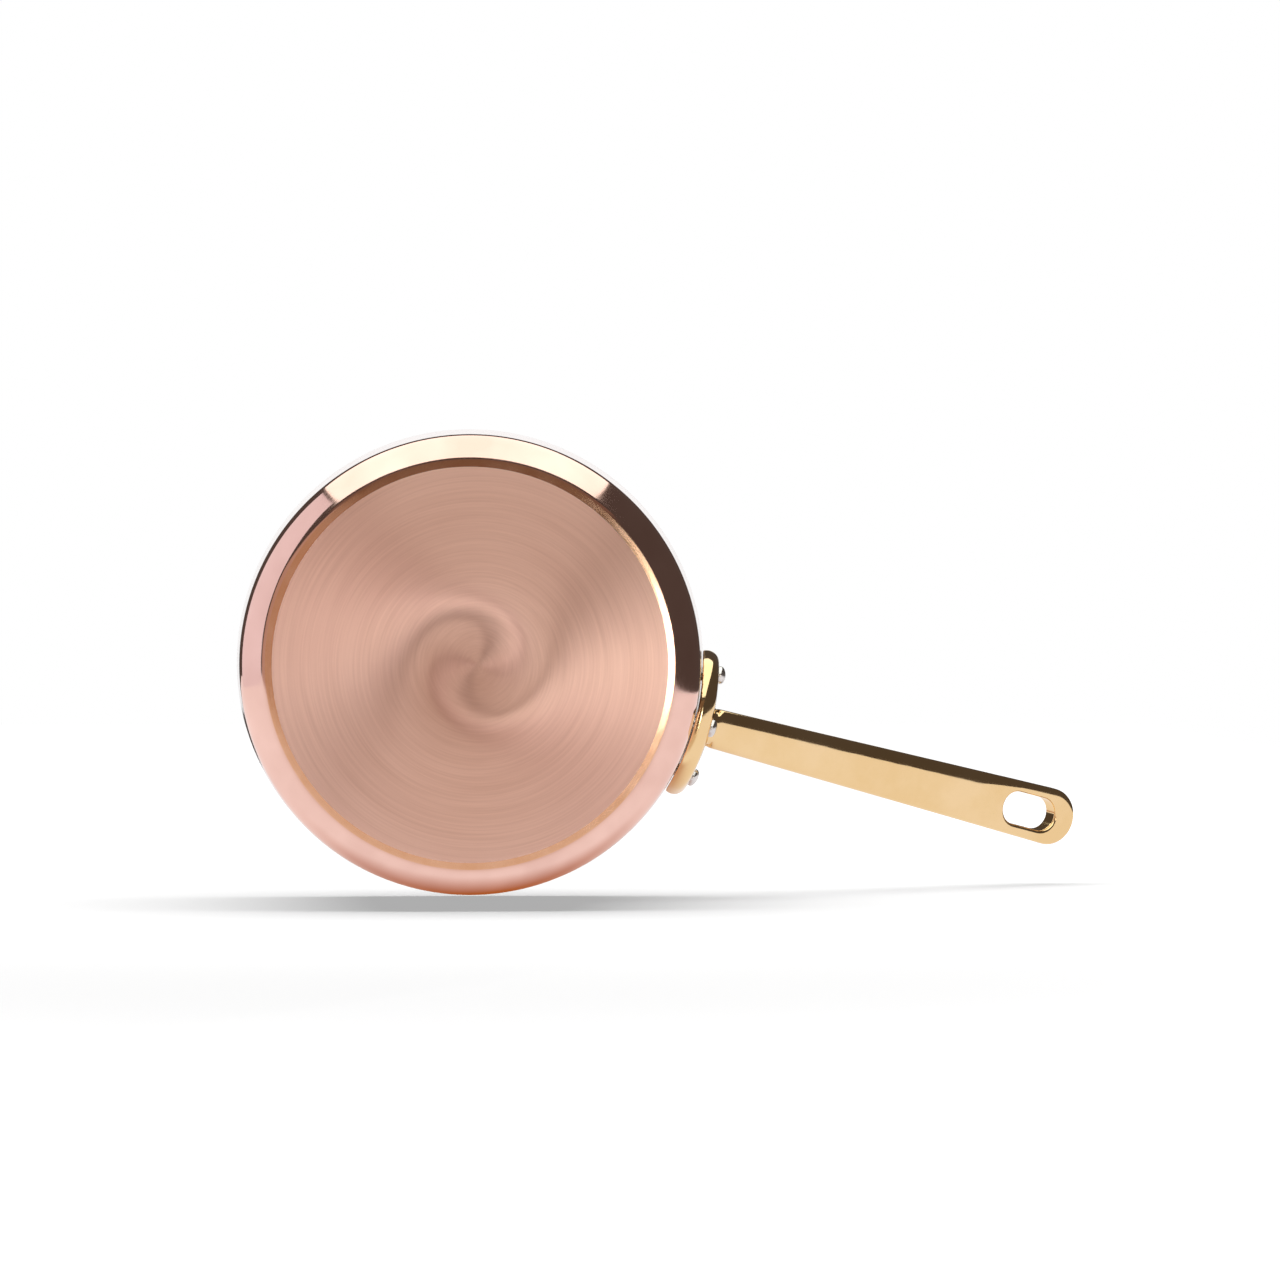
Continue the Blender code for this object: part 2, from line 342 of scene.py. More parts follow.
def make_rivet(name, degrees, z, steel):
    inner_seat = COPPER_THICKNESS + SEAM_GAP + LINING_THICKNESS + RIVET_SEAT_GAP
    outer_seat = FIT_GAP + FLANGE_THICKNESS + RIVET_SEAT_GAP
    inner = [(r, -level) for r, level in dome(RIVET_INNER_RADIUS, RIVET_INNER_HEIGHT, inner_seat)]
    outer = dome(RIVET_HEAD_RADIUS, RIVET_HEAD_HEIGHT, outer_seat)
    shank = [(RIVET_SHANK_RADIUS, -inner_seat), (RIVET_SHANK_RADIUS, outer_seat)]
    points, faces = lathe(inner[::-1] + shank + outer, RIVET_SEGMENTS)
    rivet = make_object(name + "_head", points, faces, (steel,))
    rivet.data.transform(rivet_matrix(degrees, z))
    return join_in(rivet, name)


# The handle as one smooth shape: a value below 0 is inside it, and the surface is at 0.


def bar_curve(share):
    """Place on the bar's centre line in XZ, and its first two derivatives."""
    a, b, c, d = (np.array(point) for point in BAR_LINE)
    share = np.asarray(share)[..., None]
    rest = 1 - share
    place = a * rest**3 + b * 3 * rest**2 * share + c * 3 * rest * share**2 + d * share**3
    first = 3 * ((b - a) * rest**2 + (c - b) * 2 * rest * share + (d - c) * share**2)
    second = 6 * ((c - 2 * b + a) * rest + (d - 2 * c + b) * share)
    return place, first, second


SHARES = np.linspace(*SHARE_RANGE, SHARE_COUNT)
PLACES = bar_curve(SHARES)[0]
CHORD = np.array(BAR_LINE[3]) - np.array(BAR_LINE[0])
CHORD_STEPS = PLACES @ CHORD
WALKED = np.append(0.0, np.cumsum(np.hypot(*np.diff(PLACES, axis=0).T)))
LENGTHS = WALKED - np.interp(0.0, SHARES, WALKED)
BAR_LENGTH = float(np.interp(1.0, SHARES, LENGTHS))


def bar_coordinates(x, z):
    """Length along the bar's centre line, and height above it."""
    target = np.stack(np.broadcast_arrays(x, z), axis=-1)
    share = np.interp(target @ CHORD, CHORD_STEPS, SHARES)
    for _ in range(LOOKUP_ROUNDS):
        place, first, second = bar_curve(share)
        miss = place - target
        slope = (first * first).sum(-1) + (miss * second).sum(-1)
        share = share - (miss * first).sum(-1) / slope
        share = np.clip(share, SHARES[0], SHARES[-1])
    place, first, _ = bar_curve(share)
    away = target - place
    speed = np.hypot(*np.moveaxis(first, -1, 0))
    above = (away[..., 1] * first[..., 0] - away[..., 0] * first[..., 1]) / speed
    return np.interp(share, SHARES, LENGTHS), above


def round_cut(a, b, radius):
    """Where both shapes overlap, with the outer edge rounded."""
    both = np.hypot(np.maximum(a + radius, 0), np.maximum(b + radius, 0))
    return np.minimum(np.maximum(a, b), -radius) + both


def round_join(a, b, radius):
    """Both shapes together, with a fillet between them."""
    both = np.hypot(np.maximum(radius - a, 0), np.maximum(radius - b, 0))
    return np.maximum(np.minimum(a, b), radius) - both


def ease(value, start, end):
    share = np.clip((value - start) / (end - start), 0, 1)
    return share * share * (3 - 2 * share)


def oval_value(across, up, half_width, half_height, power):
    """Distance from a superellipse, from coordinates that are 1 at its half width and height."""
    across = np.maximum(np.abs(across), LEAST_SHARE)
    up = np.maximum(np.abs(up), LEAST_SHARE)
    size = (across**power + up**power) ** (1 / power)
    slope_across = (across / size) ** (power - 1) / half_width
    slope_up = (up / size) ** (power - 1) / half_height
    return (size - 1) / np.hypot(slope_across, slope_up)


def bar_value(along, across, above):
    tip = BAR_END_WIDTH / 2
    centre = BAR_LENGTH - tip
    taper = math.atan((BAR_END_WIDTH - BAR_ROOT_WIDTH) / 2 / centre)
    across = np.abs(across)
    line = tip / math.cos(taper) - math.tan(taper) * (centre - along)
    bend = np.clip((NECK_END - along) / NECK_RADIUS, 0, NECK_LIMIT)
    line = line - NECK_RADIUS * (1 - np.sqrt(1 - bend * bend))
    on_tip = (along - centre) * math.cos(taper) + across * math.sin(taper) > 0
    beyond = np.where(
        on_tip, np.hypot(along - centre, across) - tip, (across - line) * math.cos(taper)
    )
    half = np.where(on_tip, tip, line)
    thick = BAR_ROOT_THICKNESS + (BAR_END_THICKNESS - BAR_ROOT_THICKNESS) * along / BAR_LENGTH
    power = BAR_CROWN + (RING_CROWN - BAR_CROWN) * ease(along, *CROWN_CHANGE)
    wide = np.maximum(1 + beyond / half, 0)
    value = oval_value(wide, above / (thick / 2), half, thick / 2, power)
    slot_centre = BAR_LENGTH - SLOT_TO_TIP - SLOT_LENGTH / 2
    reach = SLOT_LENGTH / 2 - SLOT_WIDTH / 2
    past = np.maximum(np.abs(along - slot_centre) - reach, 0)
    slot = SLOT_WIDTH / 2 - np.hypot(past, across)
    value = round_cut(value, slot, SLOT_EDGE_RADIUS)
    return np.maximum(value, -along)


def wall_coordinates(x, y, z):
    """Arc length round the wall, height on the wall, and depth out from it."""
    tilt = wall_tilt()
    radius = np.hypot(x, y)
    depth = (radius - RIM_RADIUS + (PAN_HEIGHT - z) * math.tan(tilt)) * math.cos(tilt)
    return np.arctan2(y, x) * RIM_RADIUS, z + depth * math.sin(tilt), depth


def flange_value(around, up, depth):
    half_width = FLANGE_WIDTH / 2
    half_height = FLANGE_HEIGHT / 2
    rise = (up - FLANGE_CENTRE_Z) / half_height
    widening = FLANGE_NARROWING * np.clip(rise, -NARROWING_LIMIT, NARROWING_LIMIT)
    side = around / (1 + widening) / half_width
    plan = oval_value(side, rise, half_width, half_height, FLANGE_SQUARENESS)
    value = round_cut(plan, depth - FIT_GAP - FLANGE_THICKNESS, FLANGE_EDGE_RADIUS)
    return round_cut(value, FIT_GAP - depth, FLANGE_BACK_RADIUS)


def handle_value(x, y, z):
    along, above = bar_coordinates(x, z)
    bar = bar_value(along, y, above)
    flange = flange_value(*wall_coordinates(x, y, z))
    value = round_join(flange, bar, FILLET_RADIUS)
    for _, degrees, height in RIVETS:
        back = rivet_matrix(degrees, height).inverted()
        u = back[0][0] * x + back[0][1] * y + back[0][2] * z + back[0][3]
        v = back[1][0] * x + back[1][1] * y + back[1][2] * z + back[1][3]
        value = np.maximum(value, RIVET_HOLE_RADIUS - np.hypot(u, v))
    return value


def handle_slope(points):
    """The direction in which the value rises fastest, with its size."""
    columns = []
    for axis in range(3):
        step = np.zeros(3)
        step[axis] = SLOPE_STEP
        more = handle_value(*(points + step).T)
        less = handle_value(*(points - step).T)
        columns.append((more - less) / (2 * SLOPE_STEP))
    return np.stack(columns, axis=1)


def trace_surface(inside):
    """One point in each grid cell that the surface passes through, and the faces between them."""
    corners = sum(
        inside[a : a - 1 or None, b : b - 1 or None, c : c - 1 or None].astype(np.int8)
        for a in (0, 1)
        for b in (0, 1)
        for c in (0, 1)
    )
    crossed = (corners > 0) & (corners < 8)
    number = np.full(crossed.shape, -1)
    number[crossed] = np.arange(crossed.sum())
    faces = []
    for axis in range(3):
        turned = np.moveaxis(inside, axis, 0)
        cells = np.moveaxis(number, axis, 0)
        change = turned[1:, 1:-1, 1:-1].astype(np.int8) - turned[:-1, 1:-1, 1:-1]
        for sign in (-1, 1):
            i, j, k = np.nonzero(change == sign)
            ring = [cells[i, j, k], cells[i, j + 1, k], cells[i, j + 1, k + 1], cells[i, j, k + 1]]
            if sign > 0:
                ring = ring[::-1]
            if axis == 1:
                ring = ring[::-1]
            faces.append(np.stack(ring, axis=1))
    return np.argwhere(crossed), np.concatenate(faces)


def make_handle(brass):
    low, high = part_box("handle")
    low = np.array(low) - GRID_MARGIN
    high = np.array(high) + GRID_MARGIN
    axes = [np.arange(a, b, GRID_STEP) for a, b in zip(low, high)]
    x, y, z = np.meshgrid(*axes, indexing="ij", sparse=True)
    cells, faces = trace_surface(handle_value(x, y, z) < 0)
    points = low + (cells + 0.5) * GRID_STEP
    for _ in range(SETTLE_ROUNDS):
        slope = handle_slope(points)
        value = handle_value(*points.T)
        move = -slope * (value / np.maximum((slope**2).sum(1), LEAST_SLOPE_SQUARED))[:, None]
        length = np.linalg.norm(move, axis=1, keepdims=True)
        points = points + move * np.minimum(1, GRID_STEP / np.maximum(length, TINY))
    slope = handle_slope(points)
    normals = slope / np.maximum(np.linalg.norm(slope, axis=1, keepdims=True), TINY)
    mesh = bpy.data.meshes.new("brass_handle")
    mesh.from_pydata(points.tolist(), [], faces.tolist())
    mesh.shade_smooth()
    mesh.normals_split_custom_set_from_vertices(normals.tolist())
    mesh.materials.append(brass)
    handle = bpy.data.objects.new("brass_handle", mesh)
    bpy.context.collection.objects.link(handle)
    return join_in(handle, "handle")


# Node materials. The spans are the values that a noise, or two added together, mostly takes.

CLOUD_SPAN = (0.35, 0.65)
LINE_SPAN = (0.3, 0.7)
SUM_SPAN = (0.7, 1.3)
WIDE_SUM_SPAN = (0.6, 1.4)


def add_node(tree, kind, inputs=None, **settings):
    """A node with its settings made. Each input gets a value or a link from another socket."""
    made = tree.nodes.new(kind)
    for name, value in settings.items():
        setattr(made, name, value)
    for name, value in (inputs or {}).items():
        if isinstance(value, bpy.types.NodeSocket):
            tree.links.new(value, made.inputs[name])
        else:
            made.inputs[name].default_value = value
    return made


def maths(tree, operation, *values):
    inputs = dict(enumerate(values))
    return add_node(tree, "ShaderNodeMath", inputs, operation=operation).outputs[0]


def vector_maths(tree, operation, *values):
    inputs = dict(enumerate(values))
    return add_node(tree, "ShaderNodeVectorMath", inputs, operation=operation).outputs[0]


def remap(tree, value, low, high, to_low, to_high, kind="LINEAR"):
    inputs = {"Value": value, "From Min": low, "From Max": high}
    inputs.update({"To Min": to_low, "To Max": to_high})
    return add_node(tree, "ShaderNodeMapRange", inputs, interpolation_type=kind).outputs["Result"]


def blend_colours(tree, share, first, second):
    made = add_node(tree, "ShaderNodeMix", data_type="RGBA")
    colours = [socket for socket in made.inputs if socket.type == "RGBA"]
    for socket, value in ((made.inputs[0], share), (colours[0], first), (colours[1], second)):
        if isinstance(value, bpy.types.NodeSocket):
            tree.links.new(value, socket)
        else:
            socket.default_value = value
    return [socket for socket in made.outputs if socket.type == "RGBA"][0]


def noise(tree, vector, scale, detail=2.0, roughness=0.5):
    inputs = {"Vector": vector, "Scale": scale, "Detail": detail, "Roughness": roughness}
    return add_node(tree, "ShaderNodeTexNoise", inputs).outputs["Fac"]


def start_material(name):
    """A metal material: (material, its node tree, its shader, object coordinates)."""
    material = bpy.data.materials.new(name)
    material.use_nodes = True
    tree = material.node_tree
    shader = tree.nodes["Principled BSDF"]
    shader.inputs["Metallic"].default_value = 1.0
    place = add_node(tree, "ShaderNodeTexCoord").outputs["Object"]
    return material, tree, shader, place


def ring_directions(tree, place, centre):
    """Distance from a line along Z, directions outwards and round it, and height along it."""
    from_centre = vector_maths(tree, "SUBTRACT", place, centre)
    split = add_node(tree, "ShaderNodeSeparateXYZ", {0: from_centre})
    level = {0: split.outputs[0], 1: split.outputs[1]}
    flat = add_node(tree, "ShaderNodeCombineXYZ", level).outputs[0]
    distance = add_node(tree, "ShaderNodeVectorMath", {0: flat}, operation="LENGTH").outputs["Value"]
    outward = vector_maths(tree, "NORMALIZE", flat)
    round_it = vector_maths(tree, "CROSS_PRODUCT", (0.0, 0.0, 1.0), outward)
    return distance, outward, round_it, split.outputs[2]


def ring_space(tree, distance, outward, height, fine, long):
    """Coordinates stretched round the centre line, so that noise draws concentric streaks."""
    wrapped = add_node(tree, "ShaderNodeVectorMath", {0: outward, "Scale": long}, operation="SCALE")
    depth = maths(tree, "MULTIPLY", maths(tree, "ADD", distance, height), fine)
    along = add_node(tree, "ShaderNodeCombineXYZ", {2: depth}).outputs[0]
    return vector_maths(tree, "ADD", wrapped.outputs[0], along)


def add_bump(tree, shader, height, distance):
    bump = add_node(tree, "ShaderNodeBump", {"Height": height, "Distance": distance})
    tree.links.new(bump.outputs["Normal"], shader.inputs["Normal"])
    return bump


def ring_noise(tree, rings, streaks, detail=3.0, roughness=0.6):
    """Noise in concentric streaks: (changes per metre outwards, changes per radian round)."""
    distance, outward, _, height = rings
    return noise(tree, ring_space(tree, distance, outward, height, *streaks), 1.0, detail, roughness)


def soft_clouds(tree, place, scale):
    return noise(tree, place, scale, 3.0, 0.55)


def two_tone(tree, tone, dark, light, span=CLOUD_SPAN):
    """A colour between two colours, by a noise that mostly stays in the span."""
    return blend_colours(tree, remap(tree, tone, *span, 0.0, 1.0), dark, light)


def uneven(tree, first, second, span, low, high):
    """A roughness from two noises added together, whose sum mostly stays in the span."""
    return remap(tree, maths(tree, "ADD", first, second), *span, low, high)


def apply_look(tree, shader, colour, roughness):
    tree.links.new(colour, shader.inputs["Base Color"])
    tree.links.new(roughness, shader.inputs["Roughness"])


COPPER_LIGHT = (0.95, 0.658, 0.575, 1.0)
COPPER_DARK = (0.82, 0.542, 0.465, 1.0)
# Painted shade: the colour of the darker patch on the base.
PAINTED_SHADE_COPPER = (0.40, 0.20, 0.14, 1.0)
AXIS = (0.0, 0.0, 0.0)

BRUSH_CENTRE = (0.0025, -0.0006, 0.0)
BRUSH_LINES = (1300.0, 1.2)
BRUSH_LINE_SHARE = 0.75
BRUSH_BANDS = (260.0, 0.9)
BRUSH_CLOUD = 38.0
BRUSH_ROUGHNESS = (0.28, 0.30)
BRUSH_ANISOTROPY = 0.9
BRUSH_GRAIN = 0.000004

# Roughness that is added in the middle. It has faded out at this distance from it.
MIDDLE_ROUGHNESS = 0.06
MIDDLE_REACH = 0.045

# The gloss spreads outwards far from the centre, as on lines that run round it. Nearer in, its
# direction turns, and at this radius it is that of lines that run straight inwards.
SWIRL_RADIUS = 0.0192
SWIRL_REACH = 0.0048

# A bump that makes the middle of the base look very slightly raised.
RISE_REACH = 0.0220
RISE_SLOPE = 0.010

# Painted shade: a darker patch in the copper's colour, just below the middle of the base.
PAINTED_SHADE_CENTRE = (-0.0005, 0.0085, 0.0)
PAINTED_SHADE_REACH = (0.003, 0.030)
PAINTED_SHADE_AMOUNT = 0.50


def with_painted_shade(tree, place, colour):
    """The colour with the patch of painted shade laid over it."""
    from_painted_shade = vector_maths(tree, "SUBTRACT", place, PAINTED_SHADE_CENTRE)
    away = add_node(tree, "ShaderNodeVectorMath", {0: from_painted_shade}, operation="LENGTH").outputs[1]
    painted_shade = remap(tree, away, *PAINTED_SHADE_REACH, PAINTED_SHADE_AMOUNT, 0.0, "SMOOTHSTEP")
    return blend_colours(tree, painted_shade, colour, PAINTED_SHADE_COPPER)


def swirled(tree, outward, distance):
    """The direction that the gloss spreads in."""
    swirl = maths(tree, "ARCTAN2", SWIRL_REACH, maths(tree, "SUBTRACT", distance, SWIRL_RADIUS))
    turn = {"Vector": outward, "Center": AXIS, "Axis": (0.0, 0.0, -1.0), "Angle": swirl}
    return add_node(tree, "ShaderNodeVectorRotate", turn).outputs[0]


def brushed_copper():
    """Turned and brushed copper, with lines round a centre a little off the pan's axis."""
    material, tree, shader, place = start_material("brushed_copper")
    rings = ring_directions(tree, place, BRUSH_CENTRE)
    distance, outward, _, _ = rings
    lines = ring_noise(tree, rings, BRUSH_LINES)
    bands = ring_noise(tree, rings, BRUSH_BANDS, 2.0, 0.5)
    cloud = soft_clouds(tree, place, BRUSH_CLOUD)
    fine = maths(tree, "MULTIPLY", lines, BRUSH_LINE_SHARE)
    broad = maths(tree, "MULTIPLY", bands, 1 - BRUSH_LINE_SHARE)
    tone = maths(tree, "ADD", fine, broad)
    colour = two_tone(tree, tone, COPPER_DARK, COPPER_LIGHT, LINE_SPAN)
    rough = uneven(tree, bands, cloud, WIDE_SUM_SPAN, *BRUSH_ROUGHNESS)
    middle = remap(tree, distance, 0.0, MIDDLE_REACH, MIDDLE_ROUGHNESS, 0.0, "SMOOTHSTEP")
    rougher = maths(tree, "ADD", rough, middle)
    # The base colour gets a patch of painted shade just below its middle.
    apply_look(tree, shader, with_painted_shade(tree, place, colour), rougher)
    shader.inputs["Anisotropic"].default_value = BRUSH_ANISOTROPY
    tree.links.new(swirled(tree, outward, distance), shader.inputs["Tangent"])
    rise = maths(tree, "TANH", maths(tree, "DIVIDE", distance, RISE_REACH))
    raised = {"Height": rise, "Distance": RISE_SLOPE * RISE_REACH}
    slope = add_node(tree, "ShaderNodeBump", raised, invert=True).outputs[0]
    grain = add_bump(tree, shader, lines, BRUSH_GRAIN)
    tree.links.new(slope, grain.inputs["Normal"])
    return material


EDGE_COLOURS = ((0.86, 0.54, 0.36, 1.0), (0.92, 0.62, 0.46, 1.0))
EDGE_LINES = (1500.0, 6.0)
EDGE_CLOUD = 90.0
EDGE_ROUGHNESS = (0.09, 0.15)
EDGE_GRAIN = 0.00001


def edge_copper():
    """The narrow ring where the brushing fades out: warmer and half polished."""
    material, tree, shader, place = start_material("edge_copper")
    lines = ring_noise(tree, ring_directions(tree, place, AXIS), EDGE_LINES)
    cloud = soft_clouds(tree, place, EDGE_CLOUD)
    colour = two_tone(tree, cloud, *EDGE_COLOURS)
    rough = uneven(tree, lines, cloud, SUM_SPAN, *EDGE_ROUGHNESS)
    apply_look(tree, shader, colour, rough)
    add_bump(tree, shader, lines, EDGE_GRAIN)
    return material


POLISH_LINES = (2200.0, 2.0)
POLISH_CLOUD = 30.0
POLISH_ROUGHNESS = (0.05, 0.09)
POLISH_GRAIN = 0.000004


def polished_copper():
    """Polished copper with very faint spun lines and soft hand-worn patches."""
    material, tree, shader, place = start_material("polished_copper")
    lines = ring_noise(tree, ring_directions(tree, place, AXIS), POLISH_LINES, 2.0)
    cloud = soft_clouds(tree, place, POLISH_CLOUD)
    colour = two_tone(tree, cloud, COPPER_DARK, COPPER_LIGHT)
    rough = uneven(tree, lines, cloud, SUM_SPAN, *POLISH_ROUGHNESS)
    apply_look(tree, shader, colour, rough)
    add_bump(tree, shader, lines, POLISH_GRAIN)
    return material


LINING_COLOURS = ((0.60, 0.595, 0.58, 1.0), (0.68, 0.675, 0.66, 1.0))
LINING_LINES = (1600.0, 1.6)
LINING_CLOUD = 26.0
LINING_ROUGHNESS = (0.28, 0.36)
LINING_ANISOTROPY = 0.75
LINING_GRAIN = 0.000012


def lining_steel():
    """Stainless steel brushed round the inside."""
    material, tree, shader, place = start_material("lining_steel")
    rings = ring_directions(tree, place, AXIS)
    _, _, round_it, _ = rings
    lines = ring_noise(tree, rings, LINING_LINES)
    cloud = soft_clouds(tree, place, LINING_CLOUD)
    colour = two_tone(tree, lines, *LINING_COLOURS, LINE_SPAN)
    rough = uneven(tree, lines, cloud, WIDE_SUM_SPAN, *LINING_ROUGHNESS)
    apply_look(tree, shader, colour, rough)
    shader.inputs["Anisotropic"].default_value = LINING_ANISOTROPY
    normal = add_node(tree, "ShaderNodeNewGeometry").outputs["Normal"]
    spread = vector_maths(tree, "CROSS_PRODUCT", normal, round_it)
    tree.links.new(spread, shader.inputs["Tangent"])
    add_bump(tree, shader, lines, LINING_GRAIN)
    return material


BRASS_COLOURS = ((0.85, 0.62, 0.32, 1.0), (0.89, 0.67, 0.38, 1.0))
BRASS_WAVE = 60.0
BRASS_WAVE_DEPTH = 0.00018
BRASS_CLOUD = 45.0
BRASS_HAIR = 1500.0
BRASS_HAIR_STRETCH = (0.15, 1.0, 0.3)
BRASS_ROUGHNESS = (0.06, 0.12)


def polished_brass():
    """Cast brass polished by hand: soft waves in the surface and faint hairlines."""
    material, tree, shader, place = start_material("polished_brass")
    wave = noise(tree, place, BRASS_WAVE, 1.0, 0.4)
    cloud = noise(tree, place, BRASS_CLOUD, 4.0, 0.6)
    stretch = {0: place, "Scale": BRASS_HAIR_STRETCH}
    stretched = add_node(tree, "ShaderNodeMapping", stretch).outputs[0]
    hair = noise(tree, stretched, BRASS_HAIR, 2.0, 0.6)
    colour = two_tone(tree, cloud, *BRASS_COLOURS)
    rough = uneven(tree, hair, cloud, SUM_SPAN, *BRASS_ROUGHNESS)
    apply_look(tree, shader, colour, rough)
    add_bump(tree, shader, wave, BRASS_WAVE_DEPTH)
    return material


RIVET_COLOURS = ((0.70, 0.69, 0.68, 1.0), (0.78, 0.77, 0.76, 1.0))
RIVET_GRAIN = 2600.0
RIVET_GRAIN_DEPTH = 0.00001
RIVET_CLOUD = 300.0
RIVET_ROUGHNESS = (0.20, 0.30)


def rivet_steel():
    """Satin stainless steel with a fine grain."""
    material, tree, shader, place = start_material("rivet_steel")
    grain = noise(tree, place, RIVET_GRAIN, 3.0, 0.6)
    cloud = noise(tree, place, RIVET_CLOUD, 2.0, 0.5)
    colour = two_tone(tree, cloud, *RIVET_COLOURS)
    rough = remap(tree, grain, *LINE_SPAN, *RIVET_ROUGHNESS)
    apply_look(tree, shader, colour, rough)
    add_bump(tree, shader, grain, RIVET_GRAIN_DEPTH)
    return material


# Studio

RIGHT = Vector((math.cos(ROLL), -math.sin(ROLL), 0.0))
UP = Vector((-math.sin(ROLL), -math.cos(ROLL), 0.0))
TOWARDS = Vector((0.0, 0.0, -1.0))


def spot(right, up, towards):
    return RIGHT * right + UP * up + TOWARDS * towards


def make_panel(name, corners, material):
    points = [spot(*corner) for corner in corners]
    panel = make_object(name, points, [tuple(range(len(corners)))], (material,))
    return panel


def first_light(tree):
    """1, or 0 on a path that has already left the floor, so the pan throws no light onto it."""
    bounces = add_node(tree, "ShaderNodeLightPath").outputs["Diffuse Depth"]
    return maths(tree, "LESS_THAN", bounces, 0.5)


def glow(name, colour, strength):
    material = bpy.data.materials.new(name)
    material.use_nodes = True
    tree = material.node_tree
    tree.nodes.clear()
    power = maths(tree, "MULTIPLY", first_light(tree), strength)
    light = add_node(tree, "ShaderNodeEmission", {"Color": (*colour, 1.0), "Strength": power})
    out = add_node(tree, "ShaderNodeOutputMaterial")
    tree.links.new(light.outputs[0], out.inputs[0])
    return material


# The floor's own glow keeps the shade under the pan from going black, and far away keeps it white.
FLOOR_COLOUR = (0.42, 0.42, 0.42, 1.0)
FLOOR_LIFT = 0.42
LIFT_REACH = (0.25, 0.80)


def floor_material():
    """White from the front, and see-through from behind, so that it never hides the pan."""
    material = bpy.data.materials.new("white_floor")
    material.use_nodes = True
    tree = material.node_tree
    tree.nodes.clear()
    paper = add_node(tree, "ShaderNodeBsdfDiffuse", {"Color": FLOOR_COLOUR})
    place = add_node(tree, "ShaderNodeTexCoord").outputs["Object"]
    away = add_node(tree, "ShaderNodeVectorMath", {0: place}, operation="LENGTH").outputs[1]
    power = remap(tree, away, *LIFT_REACH, FLOOR_LIFT, 1.0, "SMOOTHSTEP")
    lift = add_node(tree, "ShaderNodeEmission", {"Strength": power})
    front = add_node(tree, "ShaderNodeAddShader", {0: paper.outputs[0], 1: lift.outputs[0]})
    clear = add_node(tree, "ShaderNodeBsdfTransparent")
    side = add_node(tree, "ShaderNodeNewGeometry").outputs["Backfacing"]
    mixed = add_node(tree, "ShaderNodeMixShader", {0: side, 1: front.outputs[0], 2: clear.outputs[0]})
    out = add_node(tree, "ShaderNodeOutputMaterial")
    tree.links.new(mixed.outputs[0], out.inputs[0])
    return material


def level_at(up, *corners):
    """Corners of a level panel, from (right, towards)."""
    return tuple((right, up, towards) for right, towards in corners)


def upright_at(right, *corners):
    """Corners of a panel at one side, from (up, towards)."""
    return tuple((right, up, towards) for up, towards in corners)


def facing_at(towards, *corners):
    """Corners of a panel that faces the picture, from (right, up)."""
    return tuple((right, up, towards) for right, up in corners)


FLOOR_UP = -(RIM_RADIUS + FLOOR_GAP)
FLOOR_CORNERS = level_at(FLOOR_UP, (-1.3, 1.2), (0.6, 1.2), (0.6, -2.5), (-1.3, -2.5))
ABOVE = level_at(0.8, (-0.67, -0.95), (0.62, -0.95), (0.62, 1.85), (-0.67, 1.85))
LEFT_SIDE = upright_at(-0.75, (FLOOR_UP, -0.47), (0.86, -0.47), (0.86, 1.30), (FLOOR_UP, 1.30))
CARD = facing_at(1.6, (0.235, FLOOR_UP), (0.42, FLOOR_UP), (0.42, 0.085), (0.235, 0.085))
CARD_TOP = facing_at(1.6, (0.235, 0.085), (0.42, 0.085), (0.37, 0.20), (0.22, 0.20))
ROOM_LEFT = facing_at(
    1.7, (-0.02, FLOOR_UP), (-0.02, 0.04), (-0.35, 0.40), (-0.80, 0.40), (-0.80, FLOOR_UP)
)
ROOM_TOP = facing_at(1.9, (-0.01, 0.0), (0.20, 0.20), (0.60, 0.60), (-0.60, 0.60), (-0.32, 0.40))
BACKDROP = facing_at(-2.5, (-0.5, FLOOR_UP), (0.5, FLOOR_UP), (0.5, 0.55), (-0.5, 0.55))

# Each panel: its name, corners, colour and strength.
PANELS = (
    ("light_above", ABOVE, (1.0, 1.0, 0.93), 1.6),
    ("light_left", LEFT_SIDE, (1.0, 0.92, 0.97), 0.88),
    ("card_right", CARD, (1.0, 0.96, 0.86), 7.0),
    ("card_upper", CARD_TOP, (1.0, 0.97, 0.88), 1.6),
    ("room_left", ROOM_LEFT, (1.0, 0.66, 0.50), 0.48),
    ("room_above", ROOM_TOP, (1.0, 0.60, 0.42), 0.19),
    ("backdrop", BACKDROP, (1.0, 1.0, 1.0), 1.0),
)
FLOOR_LIGHTS = ("light_above", "light_left")

# The floor as the metal sees it, as a painted reflection: bright paper, dimmer towards the camera,
# and painted shade where the pan's shade falls.
SHEEN_STEPS = 160
SHEEN_RIGHT = (-1.3, 0.6)
SHEEN_TOWARDS = (-1.2, 2.4)
PAPER = np.array((0.98, 0.93, 0.93))
FAR_PAPER = np.array((0.74, 0.60, 0.50))
FAR_SLANT = (1.2, 6.5)
NEAR_RADIUS = 0.070
LEAST_TOWARDS = 1e-4
# Painted shade under the pan: what it takes from each colour, and where it lies.
SHADE = np.array((0.55, 0.85, 0.97))
SHADE_CENTRE = 0.005
SHADE_WIDTH = 0.042
SHADE_EDGE = (-0.015, 0.014)
STEP_POWER = 2.5


def floor_brightness(right, towards):
    """Painted brightness of the reflected floor by place, as red, green and blue, with the pan's
    shade painted in.
    """
    over = np.hypot(right, RIM_RADIUS) - NEAR_RADIUS
    slant = np.maximum(towards, LEAST_TOWARDS) / over
    far = ease(slant, *FAR_SLANT)[..., None]
    across = np.exp(-0.5 * ((right - SHADE_CENTRE) / SHADE_WIDTH) ** 2)
    shade = across * (1 - ease(towards, *SHADE_EDGE))
    return (PAPER + (FAR_PAPER - PAPER) * far) * (1 - SHADE * shade[..., None])


def spread_steps(low, high):
    """Steps that are close together near 0, where the shade is."""
    share = np.linspace(-1, 1, SHEEN_STEPS)
    return np.where(share < 0, -low, high) * np.abs(share) ** STEP_POWER * np.sign(share)


